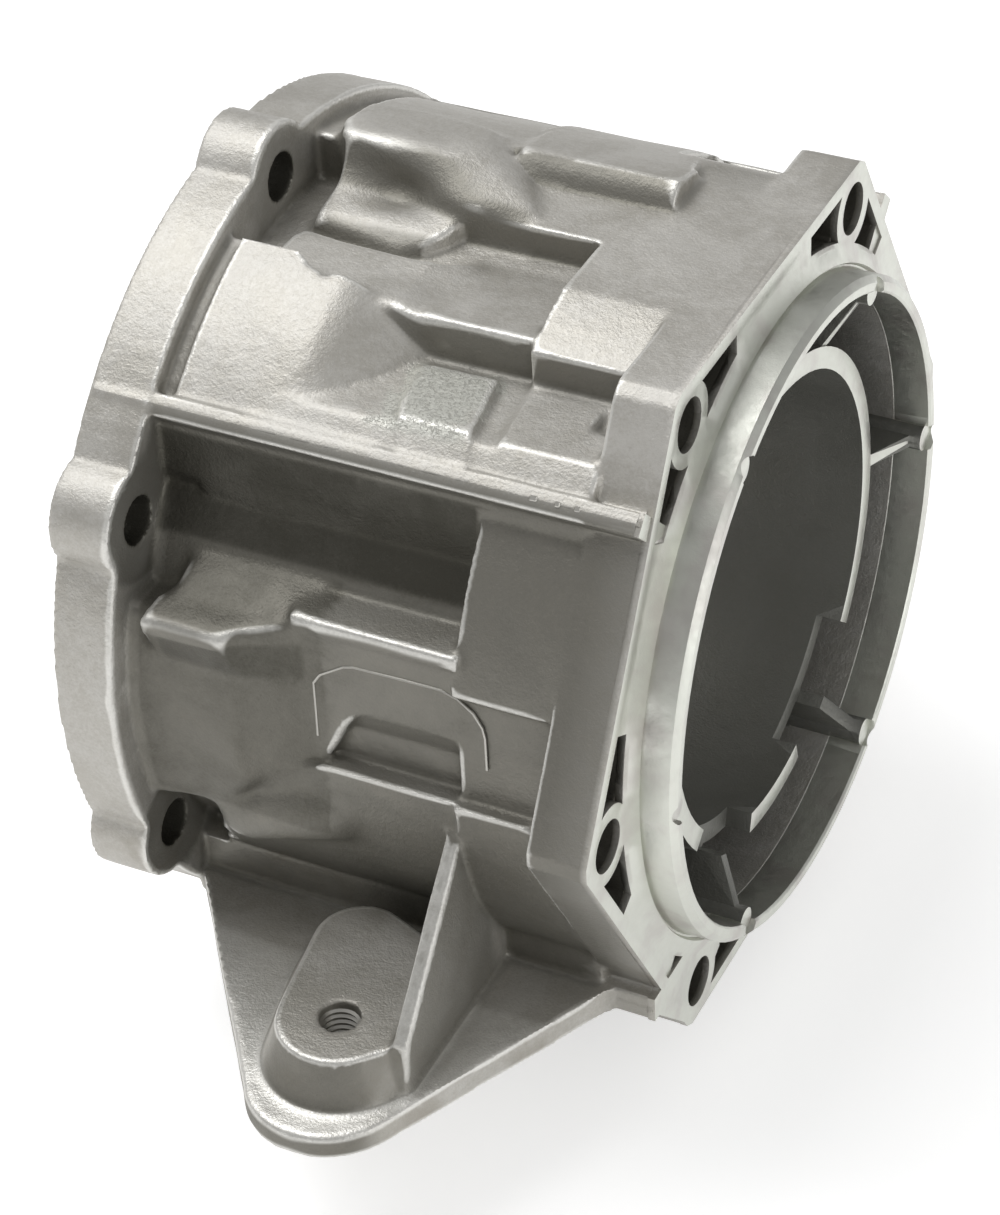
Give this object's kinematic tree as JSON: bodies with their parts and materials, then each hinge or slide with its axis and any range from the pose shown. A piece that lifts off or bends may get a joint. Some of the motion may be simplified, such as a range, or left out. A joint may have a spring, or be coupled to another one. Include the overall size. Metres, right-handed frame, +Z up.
{
  "type": "transmission extension housing",
  "caption": "Die-cast aluminium extension housing with a bolted front rim, a hexagonal rear flange round a pilot ring, an inner tube and threaded mounting feet.",
  "frame": {"origin": "centre of the rear bolt circle on the flange's mating face", "axes": "+X along the shaft out of the pilot ring, +Z up with the feet's faces level below the shaft, near foot on -Y"},
  "size_m": [0.127, 0.2508, 0.1856],
  "materials": {
    "cast_aluminium": "satin as-cast surface with fine grain, brighter machined faces"
  },
  "bodies": {
    "root": {"housing": "cast_aluminium"}
  },
  "joints": []
}
